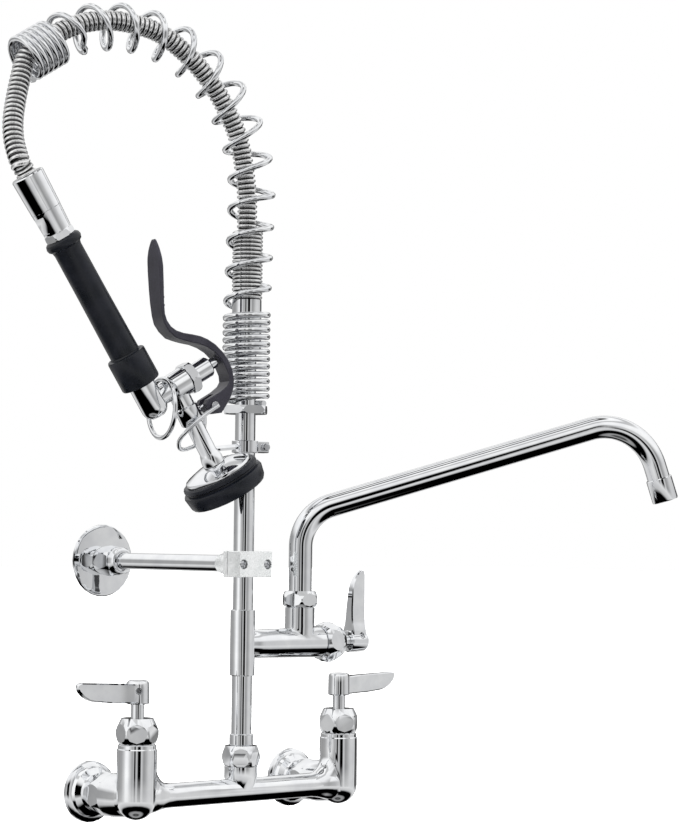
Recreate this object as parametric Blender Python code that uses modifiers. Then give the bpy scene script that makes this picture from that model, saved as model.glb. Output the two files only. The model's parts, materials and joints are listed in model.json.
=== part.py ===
"""Wall mounted pre-rinse faucet with an add-on swing spout, a guard spring and a hand spray.

Metres, +Z up. The origin is on the wall, midway between the two inlets and level with them.
The wall is the plane y = 0 and the faucet stands out from it toward -Y.
"""

import math

import bmesh
import bpy
from mathutils import Matrix, Vector

MM = 0.001
GAP = 0.3 * MM  # clearance between neighbouring pieces

# Driving dimensions
CENTRES = 203.2 * MM  # between the hot and the cold inlet
VALVE_Y = -61.5 * MM  # plane of the valves and the riser
SEGMENTS = 18  # sides of a turned piece
FINE = 26  # of a wide disc
SMALL = 10  # of a screw or a hidden piece

BODY_R = 15.3 * MM
BODY_TOP = 40.2 * MM
BODY_BASE = -1.4 * MM  # where the round bottom of a valve body starts
BAR_R = 9.5 * MM
WEB_R = 15.5 * MM  # of the round corner between the bar and a valve body
BAR_BORE_R = 4.5 * MM
BAR_BORE_Z = 3.0 * MM
BOSS_TOP = 19.1 * MM

INLET_END = 28.6 * MM  # behind the valve axis
UNION_END = 48.4 * MM
SHANK_R = 9.6 * MM
ESCUTCHEON_R = 23.7 * MM

NUT_TOP = 60.3 * MM
NUT_CORNER_R = 16.6 * MM
NUT_TURNS = {"hot": math.radians(-7), "cold": math.radians(9), "side": math.radians(24)}
HANDLE_TURN = math.radians(2)  # both handles at rest point this much forward of the bar's line
STEM_R = 5.1 * MM
HUB_BASE = 70.9 * MM
STEM_TOP = 80.0 * MM

RISER_R = 8.0 * MM
RISER_BORE_R = 6.6 * MM
UPPER_RISER_BASE = 129.0 * MM
UPPER_RISER_TOP = 372.0 * MM

TEE_R = 9.8 * MM
BRANCH_Z = 114.2 * MM
BRANCH_END = 79.0 * MM
BRANCH_NUT_SHIFT = BRANCH_END - BODY_TOP  # the side valve repeats the main valves' trim

SPOUT_X = 58.9 * MM
SPOUT_BOSS_TOP = 142.6 * MM
SPOUT_R = 9.4 * MM
SPOUT_BORE_R = 8.1 * MM
SPOUT_SWING = math.radians(-30)  # at rest, from +X
SPOUT_BENDS = (35.0 * MM, 45.0 * MM)

BRACKET_Z = 177.0 * MM
FLANGE_Y = 190.0 * MM  # back of the bracket's flange, behind the riser
FLANGE_R = 30.4 * MM
PIPE_R = 6.8 * MM
HOOK_Z = 264.7 * MM

SPRING_NUT_Z = 295.3 * MM
SPRING_NUT_TOP = 301.8 * MM
SPRING_R = 17.0 * MM  # of the wire's centre line
SPRING_WIRE_R = 2.3 * MM
TIGHT_PITCH = 5.85 * MM
TIGHT_TURNS = 12
OPEN_TURNS = 13.5
OPEN_SPREAD = 0.013  # how far the open turns are drawn together at both ends, as a share of their length
END_PITCH = 4.9 * MM
END_TURNS = 6
TURN_POINTS = 8
ARC_ANGLE = math.radians(-10)  # of the arc's plane, about the riser
ARC_CENTRE = (-112.0 * MM, 470.0 * MM)
ARC_RADII = (115.0 * MM, 120.5 * MM)
ARC_END = math.radians(115)
MOUTH = (-196.0 * MM, 556.0 * MM)  # the spring's open end, straight on from the arc

HOSE_R = 7.9 * MM
HOSE_START = 386.3 * MM
# How far the hose runs outside the arc's line, in millimetres, by the angle round the arc
HOSE_OFFSETS = ((0, -4.4), (20, -4.8), (36, -4.4), (50, -2.4), (64, 0.6), (78, 3.8), (96, 4.8), (112, 4.4))

SPRAY_AT = (-99.8 * MM, -30.0 * MM, 302.9 * MM)  # in the arc's frame
SPRAY_TILT = math.radians(-31)
GRIP_X = -0.6 * MM
GRIP_LEAN = math.radians(-1.75)  # of the grip and the swivel
SWIVEL_TOP = 192.3 * MM
BARREL_Z = -2.8 * MM  # of the valve barrel
PIVOT = (42.0 * MM, -30.0 * MM)  # of the spray lever
SHANK_X = 23.0 * MM

CHROME = ((0.80, 0.81, 0.83), 1.0, 0.08)
STEEL = ((0.72, 0.73, 0.75), 1.0, 0.22)
BRASS = ((0.72, 0.53, 0.25), 1.0, 0.3)
BLACK_RUBBER = ((0.015, 0.015, 0.017), 0.0, 0.6)
BLACK_PLASTIC = ((0.02, 0.02, 0.022), 0.0, 0.35)


def clear_scene():
    for item in list(bpy.data.objects):
        bpy.data.objects.remove(item, do_unlink=True)


def new_collection(name):
    collection = bpy.data.collections.new(name)
    bpy.context.scene.collection.children.link(collection)
    return collection


clear_scene()
PARTS = new_collection("pre_rinse_faucet")
CUTTERS = new_collection("cutters")


def finish_material(name, look):
    """A Principled material of the piece's own."""
    colour, metallic, roughness = look
    material = bpy.data.materials.new(name)
    material.use_nodes = True
    shader = material.node_tree.nodes["Principled BSDF"]
    shader.inputs["Base Color"].default_value = (*colour, 1)
    shader.inputs["Metallic"].default_value = metallic
    shader.inputs["Roughness"].default_value = roughness
    return material


def add_object(name, data, look=None):
    """A part with its material, or a cutter when it has no look."""
    item = bpy.data.objects.new(name, data)
    if look:
        data.materials.append(finish_material(name, look))
        PARTS.objects.link(item)
    else:
        CUTTERS.objects.link(item)
        item.hide_render = True
        item.display_type = "WIRE"
    return item


def empty(name, parent=None, location=(0, 0, 0), rotation=(0, 0, 0)):
    item = bpy.data.objects.new(name, None)
    item.parent = parent
    item.location = location
    item.rotation_euler = rotation
    PARTS.objects.link(item)
    return item


def place(item, location=(0, 0, 0), rotation=(0, 0, 0), parent=None):
    item.parent = parent
    item.location = location
    item.rotation_euler = rotation
    return item


def mesh_from(name, bm):
    mesh = bpy.data.meshes.new(name)
    bm.normal_update()
    bm.to_mesh(mesh)
    bm.free()
    return mesh


def turned(name, profile, look=None, ring=False, steps=SEGMENTS):
    """A profile of (radius, height) in millimetres, turned about the local Z axis.

    A ring's profile closes on itself; any other one starts and ends on the axis.
    """
    ends = profile[1:] + profile[:1]
    area = sum(a[0] * b[1] - b[0] * a[1] for a, b in zip(profile, ends))
    if area > 0:  # the outer side has to run downward for the faces to look outward
        profile = profile[::-1]
    bm = bmesh.new()
    points = [bm.verts.new((r * MM, 0, z * MM)) for r, z in profile]
    for a, b in zip(points, points[1:]):
        bm.edges.new((a, b))
    if ring:
        bm.edges.new((points[-1], points[0]))
    item = add_object(name, mesh_from(name, bm), look)
    screw = item.modifiers.new("turn", "SCREW")
    screw.steps = steps
    screw.render_steps = steps
    screw.use_merge_vertices = True
    screw.merge_threshold = 0.00001
    screw.use_smooth_shade = True
    return item


def arc(centre, radius, start, stop, count=6):
    """Points of a round stretch of a profile, in millimetres and degrees."""
    step = (stop - start) / count
    angles = [math.radians(start + step * i) for i in range(count + 1)]
    return [(centre[0] + radius * math.cos(a), centre[1] + radius * math.sin(a)) for a in angles]


def tube(name, outer, inner, top, base, look=None, edge=0.4, steps=SEGMENTS):
    """A straight tube with eased outer edges; radii and heights in metres."""
    o, i, t, b = outer / MM, inner / MM, top / MM, base / MM
    profile = [(i, t), (o - edge, t), (o, t - edge), (o, b + edge), (o - edge, b), (i, b)]
    return turned(name, profile, look, ring=True, steps=steps)


def rod(name, radius, top, base, look=None, edge=0.0, steps=SEGMENTS):
    """A straight rod, with eased ends when edge is given; metres."""
    r, t, b = radius / MM, top / MM, base / MM
    profile = [(0, t), (r, t), (r, b), (0, b)]
    if edge:
        profile = [(0, t), (r - edge, t), (r, t - edge), (r, b + edge), (r - edge, b), (0, b)]
    return turned(name, profile, look, steps=steps)


def box(name, size, look=None, bevel=0.0):
    bm = bmesh.new()
    bmesh.ops.create_cube(bm, size=1)
    bmesh.ops.scale(bm, vec=size, verts=bm.verts)
    item = add_object(name, mesh_from(name, bm), look)
    if bevel:
        modifier = item.modifiers.new("edge", "BEVEL")
        modifier.width = bevel
        modifier.segments = 1
    return item


def combine(item, others, operation):
    for other in others:
        modifier = item.modifiers.new(operation.lower(), "BOOLEAN")
        modifier.operation = operation
        modifier.solver = "EXACT"
        modifier.object = other
    return item


def join(item, *others):
    return combine(item, others, "UNION")


def cut(item, *others):
    return combine(item, others, "DIFFERENCE")


def hex_nut(name, corner_r, top, base, bore, top_r, base_r, look=CHROME):
    """A hexagon nut whose faces are rounded off toward both ends; metres."""
    bm = bmesh.new()
    bmesh.ops.create_cone(bm, cap_ends=True, segments=6, radius1=corner_r, radius2=corner_r,
                          depth=top - base, matrix=Matrix.Translation((0, 0, (top + base) / 2)))
    item = add_object(name, mesh_from(name, bm), look)
    height = (top - base) / MM
    widest = corner_r / MM
    middle = base / MM + height * 0.45
    ball_profile = [
        (0, top / MM + 1),
        (top_r / MM - 0.4, top / MM + 1),
        (top_r / MM, top / MM),
        (widest - (widest - top_r / MM) * 0.37, middle + height * 0.28),
        (widest, middle + height * 0.08),
        (widest, middle - height * 0.08),
        (widest - (widest - base_r / MM) * 0.37, middle - height * 0.27),
        (base_r / MM, base / MM),
        (base_r / MM - 0.4, base / MM - 1),
        (0, base / MM - 1),
    ]
    ball = turned(name + "_round", ball_profile)
    combine(item, [ball], "INTERSECT")
    hole = rod(name + "_hole", bore, top + 2 * MM, base - 2 * MM)
    cut(item, hole)
    return item, [ball, hole]


def place_all(items, location=(0, 0, 0), rotation=(0, 0, 0), parent=None):
    for item in items:
        place(item, location, rotation, parent)


def fillet_path(corners, radii, count=7):
    """The corners of a bent tube with each inner corner rounded to its bend radius."""
    points = [Vector(corners[0])]
    for before, corner, after, radius in zip(corners, corners[1:], corners[2:], radii):
        corner = Vector(corner)
        into = (corner - Vector(before)).normalized()
        out = (Vector(after) - corner).normalized()
        turn = into.angle(out)
        start = corner - into * radius * math.tan(turn / 2)
        side = (out - into * into.dot(out)).normalized()
        centre = start + side * radius
        for i in range(count + 1):
            angle = turn * i / count
            points.append(centre - side * radius * math.cos(angle) + into * radius * math.sin(angle))
    points.append(Vector(corners[-1]))
    return points


def smooth_path(points, count):
    """Catmull-Rom through the points, count steps between each two."""
    ends = [points[0] * 2 - points[1]] + list(points) + [points[-1] * 2 - points[-2]]
    path = []
    for a, b, c, d in zip(ends, ends[1:], ends[2:], ends[3:]):
        for i in range(count):
            t = i / count
            path.append(0.5 * ((2 * b) + (c - a) * t + (2 * a - 5 * b + 4 * c - d) * t * t
                               + (3 * b - a - 3 * c + d) * t ** 3))
    path.append(Vector(points[-1]))
    return path


def wire(name, points, radius, look=None, closed=False, sides=2, swell=None):
    """A round wire or tube along the points, with filled ends; swell scales its radius at each point."""
    curve = bpy.data.curves.new(name, "CURVE")
    curve.dimensions = "3D"
    spline = curve.splines.new("POLY")
    spline.points.add(len(points) - 1)
    for point, place_at, scale in zip(spline.points, points, swell or [1] * len(points)):
        point.co = (*place_at, 1)
        point.radius = scale
    spline.use_cyclic_u = closed
    spline.use_smooth = True
    curve.bevel_depth = radius
    curve.bevel_resolution = sides
    curve.use_fill_caps = not closed
    return add_object(name, curve, look)


def wire_mesh(name, points, radius, look=None, sides=3, swell=None):
    """The same as a mesh, for pieces that are joined or cut."""
    source = wire(name + "_curve", points, radius, sides=sides, swell=swell)
    evaluated = source.evaluated_get(bpy.context.evaluated_depsgraph_get())
    mesh = bpy.data.meshes.new_from_object(evaluated)
    mesh.name = name
    bpy.data.objects.remove(source)
    bm = bmesh.new()
    bm.from_mesh(mesh)
    bmesh.ops.remove_doubles(bm, verts=bm.verts, dist=0.000001)
    bm.to_mesh(mesh)
    bm.free()
    mesh.materials.clear()
    return add_object(name, mesh, look)


def plate(name, outline, thickness, look=None):
    """A flat outline in local X and Y, in millimetres, as a plate."""
    curve = bpy.data.curves.new(name + "_outline", "CURVE")
    curve.dimensions = "2D"
    curve.fill_mode = "BOTH"
    spline = curve.splines.new("POLY")
    spline.points.add(len(outline) - 1)
    for point, (x, y) in zip(spline.points, outline):
        point.co = (x * MM, y * MM, 0, 1)
    spline.use_cyclic_u = True
    curve.extrude = thickness / 2
    source = bpy.data.objects.new(name + "_outline", curve)
    CUTTERS.objects.link(source)
    evaluated = source.evaluated_get(bpy.context.evaluated_depsgraph_get())
    mesh = bpy.data.meshes.new_from_object(evaluated)
    mesh.name = name
    bpy.data.objects.remove(source)
    bm = bmesh.new()
    bm.from_mesh(mesh)
    bmesh.ops.remove_doubles(bm, verts=bm.verts, dist=0.000001)
    bmesh.ops.dissolve_limit(bm, angle_limit=0.01, verts=bm.verts, edges=bm.edges)
    bmesh.ops.recalc_face_normals(bm, faces=bm.faces)
    bm.to_mesh(mesh)
    bm.free()
    return add_object(name, mesh, look)


def ease_edges(item, width):
    modifier = item.modifiers.new("edge", "BEVEL")
    modifier.width = width
    modifier.segments = 1
    modifier.limit_method = "ANGLE"
    modifier.angle_limit = math.radians(50)


def mirrored(half):
    """The other half of an outline that is symmetric about X, in going-round order."""
    return [(x, -y) for x, y in reversed(half)]


X_AXIS = (0, math.radians(90), 0)  # turns local Z to +X
WALL_AXIS = (math.radians(-90), 0, 0)  # turns local Z to +Y
UPRIGHT = (math.radians(90), 0, 0)  # turns a plate's local Y to +Z


# The mixing body and its inlets


def valve_side(side):
    """The outer shapes and the cavities of one valve body, as joiners and cutters."""
    x = side * CENTRES / 2
    at = (x, VALVE_Y, 0)
    round_bottom = arc((0, BODY_BASE / MM), BODY_R / MM, 0, -90, 5)[1:-1]
    profile = [
        (0, BODY_TOP / MM),
        (14.2, BODY_TOP / MM),
        (14.6, 39.8),
        (14.6, 37.4),
        (15.2, 36.6),
        (BODY_R / MM, 30),
        (BODY_R / MM, BODY_BASE / MM),
        *round_bottom,
        (0, (BODY_BASE - BODY_R) / MM),
    ]
    tag = "hot" if side < 0 else "cold"
    shell = turned("shell_" + tag, profile)
    place(shell, at)
    end = INLET_END / MM
    inlet_profile = [(0, end), (16.4, end), (16.8, end - 0.4), (16.8, 20), (15.4, 8), (8, 0), (0, 0)]
    inlet = turned("inlet_" + tag, inlet_profile)
    place(inlet, at, WALL_AXIS)
    cavity_profile = [(0, 45), (11.5, 45), (11.5, 6), (4, 6), (4, -4), (0, -4)]
    cavity = turned("cavity_" + tag, cavity_profile, steps=SMALL)
    place(cavity, at)
    bore_profile = [(0, 34), (10.2, 34), (10.2, 15), (4, 15), (4, -3), (0, -3)]
    bore = turned("bore_" + tag, bore_profile, steps=SMALL)
    place(bore, at, WALL_AXIS)
    return [shell, inlet], [cavity, bore]


def corner_web(side):
    """Rounds out the inner corner between the bar and a valve body."""
    inner = side * (CENTRES / 2 - BODY_R - WEB_R)
    centre = Vector((inner, VALVE_Y, BAR_R + WEB_R))
    steps = 6
    points = []
    swell = []
    for i in range(steps + 1):
        turn = math.radians(90) * i / steps
        scale = 1 + 0.3 * i / steps
        out = Vector((side * math.sin(turn), 0, -math.cos(turn)))
        points.append(centre + out * (WEB_R + BAR_R * scale))
        swell.append(scale)
    return wire_mesh("web_hot" if side < 0 else "web_cold", points, BAR_R, sides=4, swell=swell)


def mixing_body():
    half = CENTRES / 2 / MM
    flare = [(12.6, half - 9), (12.4, half - 14), (11.0, half - 19), (9.9, half - 25), (BAR_R / MM, half - 32)]
    lower = [(r, -z) for r, z in reversed(flare)]
    body = turned("mixing_body", [(0, half - 9), *flare, *lower, (0, 9 - half)], CHROME)
    place(body, (0, VALVE_Y, 0), X_AXIS)
    boss = turned("boss", [(0, 19.1), (12.6, 19.1), (13, 18.6), (13, 10), (8.0, -4), (0, -4)])
    place(boss, (0, VALVE_Y, 0))
    hot_shapes, hot_cuts = valve_side(-1)
    cold_shapes, cold_cuts = valve_side(1)
    join(body, boss, *hot_shapes, *cold_shapes, corner_web(-1), corner_web(1))
    reach = (CENTRES / 2) - 9.5 * MM
    water_way = rod("water_way", BAR_BORE_R, reach, -reach, steps=6)
    place(water_way, (0, VALVE_Y, BAR_BORE_Z), X_AXIS)
    outlet = rod("outlet", RISER_R + GAP, 22 * MM, 4 * MM)
    place(outlet, (0, VALVE_Y, 0))
    cut(body, *hot_cuts, *cold_cuts, water_way, outlet)


def inlet_fittings(tag, side):
    """Union nut, washer, wall shank and escutcheon of one inlet."""
    at = (side * CENTRES / 2, VALVE_Y, 0)
    nut, helpers = hex_nut(tag + "_union_nut", 17.2 * MM, UNION_END, INLET_END + GAP, SHANK_R + GAP,
                           14.8 * MM, 15.6 * MM)
    pocket = rod(tag + "_pocket", 12.0 * MM, INLET_END + 3 * MM, INLET_END - 3 * MM)
    cut(nut, pocket)
    place_all([nut, pocket, *helpers], at, WALL_AXIS)
    shank = tube(tag + "_wall_shank", SHANK_R, 6.5 * MM, -VALVE_Y, 26.3 * MM, CHROME, steps=14)
    place(shank, at, WALL_AXIS)
    wall = -VALVE_Y / MM
    profile = [
        (11.2, 49.0),
        (12.6, 49.0),
        (13.4, 49.6),
        (14.2, 52.0),
        (18.6, 54.2),
        (19.6, 56.8),
        (22.4, 57.6),
        (ESCUTCHEON_R / MM, 58.6),
        (ESCUTCHEON_R / MM, wall),
        (10.0, wall),
        (10.0, 55.0),
    ]
    escutcheon = turned(tag + "_escutcheon", profile, CHROME, ring=True, steps=FINE)
    place(escutcheon, at, WALL_AXIS)


# A valve: cartridge, bonnet nut, stem and lever handle


def handle_blade(name):
    """The lever of a handle, from the hub's axis out along local X, thinner toward its tip."""
    outline = [
        (4, 86.2),
        (20, 86.9),
        (38, 87.8),
        (53.6, 88.4),
        (57, 88),
        (58.4, 86),
        (57, 82.2),
        (52.6, 78),
        (47.5, 75.2),
        (42, 74),
        (27, 72.6),
        (4, 71.9),
    ]
    half = [(2, 7.4), (9, 6.8), (14, 5.2), (20, 4.4), (40, 3.4), (60, 2.2)]
    blade = plate(name, outline, 16 * MM)
    plan = plate(name + "_plan", half + mirrored(half), 60 * MM)
    combine(blade, [plan], "INTERSECT")
    ease_edges(blade, 0.9 * MM)
    return blade, plan


def valve_trim(tag, frame, turn, nut_turn):
    """The pieces above a valve's seat; frame's Z is the stem's axis, turn points the handle."""
    body = turned(tag + "_cartridge", [
        (4, 40),
        (10.8, 40),
        (10.8, 10),
        (8, 7),
        (4, 7),
    ], BRASS, ring=True, steps=8)
    place(body, parent=frame)
    nut, helpers = hex_nut(tag + "_bonnet_nut", NUT_CORNER_R, NUT_TOP, BODY_TOP + GAP, STEM_R + GAP,
                           12.4 * MM, 13.7 * MM)
    place_all([nut, *helpers], rotation=(0, 0, nut_turn), parent=frame)
    stem = turned(tag + "_stem", [
        (0, STEM_TOP / MM),
        (4.7, STEM_TOP / MM),
        (5.1, STEM_TOP / MM - 0.5),
        (5.1, 41.6),
        (3.4, 41.0),
        (3.4, 12),
        (0, 12),
    ], CHROME, steps=16)
    place(stem, parent=frame)
    hub = turned(tag + "_handle", [
        (0, 89),
        (6.4, 88.9),
        (8, 88),
        (8.7, 86.2),
        (8.9, HUB_BASE / MM + 0.8),
        (8.3, HUB_BASE / MM),
        (0, HUB_BASE / MM),
    ], CHROME)
    blade, plan = handle_blade(tag + "_blade")
    socket = rod(tag + "_socket", STEM_R + GAP, STEM_TOP + GAP, 60 * MM, steps=16)
    screw_hole = rod(tag + "_screw_hole", 2.7 * MM, 12 * MM, 5.2 * MM, steps=SMALL)
    place(hub, rotation=(0, 0, turn), parent=frame)
    place(blade, rotation=(math.radians(90), 0, turn), parent=frame)
    place(plan, (0, 0, 80 * MM), (0, 0, turn), frame)
    place(socket, parent=frame)
    screw_turn = (0, math.radians(90), turn + math.radians(57))
    place(screw_hole, (0, 0, 81.0 * MM), screw_turn, frame)
    join(hub, blade)
    cut(hub, socket, screw_hole)
    screw = turned(tag + "_handle_screw", [(0, 8.3), (2.0, 8.3), (2.4, 8.0), (2.4, 5.6), (0, 5.6)],
                   STEEL, steps=SMALL)
    key = rod(tag + "_key", 1.1 * MM, 10 * MM, 7.0 * MM, steps=6)
    cut(screw, key)
    place_all([screw, key], (0, 0, 81.0 * MM), screw_turn, frame)


# Riser, add-on tee and swing spout


def riser_coupling():
    at = (0, VALVE_Y, 0)
    nut, helpers = hex_nut("riser_nut", 15.2 * MM, 35.0 * MM, BOSS_TOP + GAP, RISER_R + GAP,
                           12.6 * MM, 13.4 * MM)
    place_all([nut, *helpers], at, (0, 0, math.radians(-9)))
    lower = turned("lower_riser", [
        (6.6, 101.0),
        (8.0, 101.0),
        (8.0, 44.2),
        (8.8, 43.9),
        (9.3, 43.4),
        (9.3, 35.9),
        (8.8, 35.3),
        (8.0, 35.3),
        (8.0, 6.0),
        (6.6, 6.0),
    ], CHROME, ring=True)
    place(lower, at)
    upper = tube("upper_riser", RISER_R, RISER_BORE_R, UPPER_RISER_TOP, UPPER_RISER_BASE, CHROME)
    place(upper, at)


def tee_body():
    at = (0, VALVE_Y, 0)
    branch_at = (0, VALVE_Y, BRANCH_Z)
    body = turned("tee_body", [
        (0, 141.2),
        (TEE_R / MM - 0.6, 141.2),
        (TEE_R / MM, 140.6),
        (TEE_R / MM, 90.0),
        (TEE_R / MM - 0.6, 89.4),
        (0, 89.4),
    ], CHROME)
    place(body, at)
    branch = turned("branch", [
        (0, 79),
        (12.0, 79),
        (12.4, 78.5),
        (12.3, 74),
        (11.4, 20),
        (11.3, 13),
        (10.8, 9),
        (9.4, 5),
        (9.4, 0),
        (0, 0),
    ])
    place(branch, branch_at, X_AXIS)
    spout_boss = turned("spout_boss", [
        (0, 142.6),
        (11.4, 142.6),
        (11.9, 142.1),
        (11.9, 130),
        (12.2, 127),
        (11.6, 121),
        (11.6, 114),
        (0, 114),
    ])
    place(spout_boss, (SPOUT_X, VALVE_Y, 0))
    join(body, branch, spout_boss)
    lower = rod("tee_lower", RISER_R + GAP, 101.3 * MM, 80 * MM)
    upper = rod("tee_upper", RISER_R + GAP, 160 * MM, 128.7 * MM)
    middle = rod("tee_middle", 6.0 * MM, 140 * MM, 95 * MM, steps=SMALL)
    place_all([lower, upper, middle], at)
    cavity_profile = [(0, 84), (11.5, 84), (11.5, 44), (4, 44), (4, 0), (0, 0)]
    cavity = turned("tee_cavity", cavity_profile, steps=SMALL)
    place(cavity, branch_at, X_AXIS)
    outlet = rod("tee_outlet", SPOUT_R + GAP, 160 * MM, 130 * MM)
    drop = rod("tee_drop", 5.0 * MM, 140 * MM, 116 * MM, steps=SMALL)
    place_all([outlet, drop], (SPOUT_X, VALVE_Y, 0))
    cut(body, lower, upper, middle, cavity, outlet, drop)


def spout():
    """The nut stays on the tee; the tube and its tip swing about the boss's axis."""
    at = (SPOUT_X, VALVE_Y, 0)
    nut, helpers = hex_nut("spout_nut", 15.3 * MM, 155.6 * MM, SPOUT_BOSS_TOP + GAP, SPOUT_R + GAP,
                           12.4 * MM, 12.8 * MM)
    pocket = rod("spout_nut_pocket", 10.2 * MM, 146.6 * MM, 140 * MM)
    cut(nut, pocket)
    place_all([nut, pocket, *helpers], at, (0, 0, math.radians(25.6)))
    corners = [(0, 131), (0, 217.0), (284.0, 303.2), (304.9, 238.9)]
    path = fillet_path([(x * MM, 0, z * MM) for x, z in corners], SPOUT_BENDS)
    arm = wire_mesh("spout_tube", path, SPOUT_R, CHROME, sides=5)
    first = path[0] - Vector((0, 0, 3 * MM))
    last = path[-1] + (path[-1] - path[-2]).normalized() * 3 * MM
    bore = wire_mesh("spout_bore", [first, *path[1:-1], last], SPOUT_BORE_R, sides=2)
    swing = (0, 0, SPOUT_SWING)
    place_all([arm, bore], at, swing)
    cut(arm, bore)
    tip = turned("spout_tip", [
        (10.3, 12.5),
        (10.9, 11.8),
        (10.9, -6.2),
        (10.4, -7.0),
        (7.6, -7.0),
        (6.6, -6.0),
        (6.6, -0.4),
        (9.7, -0.4),
        (9.7, 12.5),
    ], CHROME, ring=True)
    end = Matrix.Rotation(SPOUT_SWING, 3, "Z") @ path[-1]
    out = Matrix.Rotation(SPOUT_SWING, 3, "Z") @ (path[-2] - path[-1]).normalized()
    turn = out.to_track_quat("Z", "Y").to_euler()
    place(tip, Vector(at) + end, turn)


# Wall bracket and finger hook


def bracket():
    at = (0, VALVE_Y, BRACKET_Z)
    groove = rod("clamp_groove", RISER_R + GAP, 60 * MM, -60 * MM)
    place(groove, at)
    front = box("clamp_front", (33 * MM, 15.2 * MM, 20.4 * MM), CHROME, 0.5 * MM)
    place(front, (0, VALVE_Y - 7.9 * MM, BRACKET_Z))
    plate_back = box("clamp_back", (33 * MM, 5.0 * MM, 20.4 * MM), CHROME, 0.5 * MM)
    place(plate_back, (0, VALVE_Y + 2.8 * MM, BRACKET_Z))
    ferrule = turned("clamp_ferrule", [
        (0, 27.0),
        (7.6, 27.0),
        (9.6, 17.4),
        (10.0, 16.4),
        (10.0, 3.0),
        (0, 3.0),
    ])
    place(ferrule, at, WALL_AXIS)
    join(plate_back, ferrule)
    socket = rod("clamp_socket", PIPE_R + GAP, 40 * MM, 10.7 * MM)
    place(socket, at, WALL_AXIS)
    cut(plate_back, groove, socket)
    cut(front, groove)
    for index, side in enumerate((-1, 1), start=1):
        hole_at = (side * 12.0 * MM, VALVE_Y, BRACKET_Z)
        steps_of_hole = [(0, 20), (4.0, 20), (4.0, 11.4), (2.2, 11.4), (2.2, -4.2), (0, -4.2)]
        hole = turned(f"clamp_hole_{index}", steps_of_hole, steps=SMALL)
        place(hole, hole_at, (math.radians(90), 0, 0))
        cut(front, hole)
        cut(plate_back, hole)
        screw = turned(f"clamp_screw_{index}", [
            (0, 15.1),
            (2.2, 14.9),
            (3.4, 14.0),
            (3.7, 12.6),
            (3.7, 11.7),
            (1.9, 11.7),
            (1.9, -3.8),
            (0, -3.8),
        ], STEEL, steps=SMALL)
        slots = []
        for turn in (20, 110):
            slot = box(f"clamp_slot_{index}_{turn}", (4.4 * MM, 1.0 * MM, 2.4 * MM))
            place(slot, (side * 12.0 * MM, VALVE_Y - 15.0 * MM, BRACKET_Z),
                  (math.radians(90), math.radians(turn), 0))
            slots.append(slot)
        place(screw, hole_at, (math.radians(90), 0, 0))
        cut(screw, *slots)
    place(tube("bracket_pipe", PIPE_R, 5.4 * MM, 178.0 * MM, 11.0 * MM, CHROME), at, WALL_AXIS)
    nut, helpers = hex_nut("bracket_nut", 13.0 * MM, 187.2 * MM, 168.0 * MM, PIPE_R + GAP,
                           11.6 * MM, 12.0 * MM)
    place_all([nut, *helpers], at, WALL_AXIS)
    ring = turned("bracket_ring", [
        (PIPE_R / MM + 0.3, 167.7),
        (10.6, 167.7),
        (11.4, 166.8),
        (11.4, 161.4),
        (10.6, 159.8),
        (9.0, 159.2),
        (PIPE_R / MM + 0.3, 159.2),
    ], CHROME, ring=True)
    place(ring, at, WALL_AXIS)
    flange = turned("bracket_flange", [
        (0, FLANGE_Y / MM),
        (FLANGE_R / MM, FLANGE_Y / MM),
        (FLANGE_R / MM, 188.9),
        (29.6, 188.2),
        (27.0, 187.9),
        (12.0, 187.5),
        (5.0, 187.5),
        (5.0, 181.0),
        (0, 181.0),
    ], CHROME, steps=FINE)
    place(flange, at, WALL_AXIS)


def finger_hook(arc_frame):
    """A split band on the riser with an arm that the spray hangs from."""
    middle = HOOK_Z + 4.7 * MM
    band = tube("hook_band", 10.6 * MM, RISER_R + GAP, HOOK_Z + 9.4 * MM, HOOK_Z, CHROME, 0.4)
    place(band, parent=arc_frame)
    lug = box("hook_lug", (12 * MM, 8.6 * MM, 9.0 * MM), bevel=0.6 * MM)
    place(lug, (13.6 * MM, 0, middle), parent=arc_frame)
    keyhole = rod("hook_keyhole", RISER_R + GAP, HOOK_Z + 20 * MM, HOOK_Z - 10 * MM)
    place(keyhole, parent=arc_frame)
    slit = box("hook_slit", (16 * MM, 1.6 * MM, 20 * MM))
    place(slit, (15 * MM, 0, middle), parent=arc_frame)
    hole = rod("hook_hole", 1.9 * MM, 12 * MM, -12 * MM, steps=SMALL)
    place(hole, (15.6 * MM, 0, middle), UPRIGHT, arc_frame)
    reach = [
        Vector((-8.6, -3.4, 269.2)) * MM,
        Vector((-28, -10.6, 267.2)) * MM,
        Vector((-46, -17.2, 265.6)) * MM,
        Vector((-50.6, -18.9, 267.2)) * MM,
        Vector((-51.8, -19.3, 271.6)) * MM,
        Vector((-52.0, -19.4, 277.0)) * MM,
    ]
    arm = wire_mesh("hook_arm", smooth_path(reach, 3), 2.2 * MM, sides=2)
    place(arm, parent=arc_frame)
    join(band, lug, arm)
    cut(band, keyhole, slit, hole)
    screw = turned("hook_screw", [
        (0, 8.2),
        (2.4, 8.0),
        (3.2, 7.0),
        (3.2, 4.6),
        (1.6, 4.6),
        (1.6, -4.2),
        (0, -4.2),
    ], STEEL, steps=SMALL)
    place(screw, (15.6 * MM, 0, middle), UPRIGHT, arc_frame)


# Guard spring and hose, in the frame of the arc's plane


def arc_point(angle):
    """A point of the arc's centre line; angle 0 is the top of the upright stretch."""
    return Vector((ARC_CENTRE[0] + ARC_RADII[0] * math.cos(angle), 0,
                   ARC_CENTRE[1] + ARC_RADII[1] * math.sin(angle)))


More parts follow.
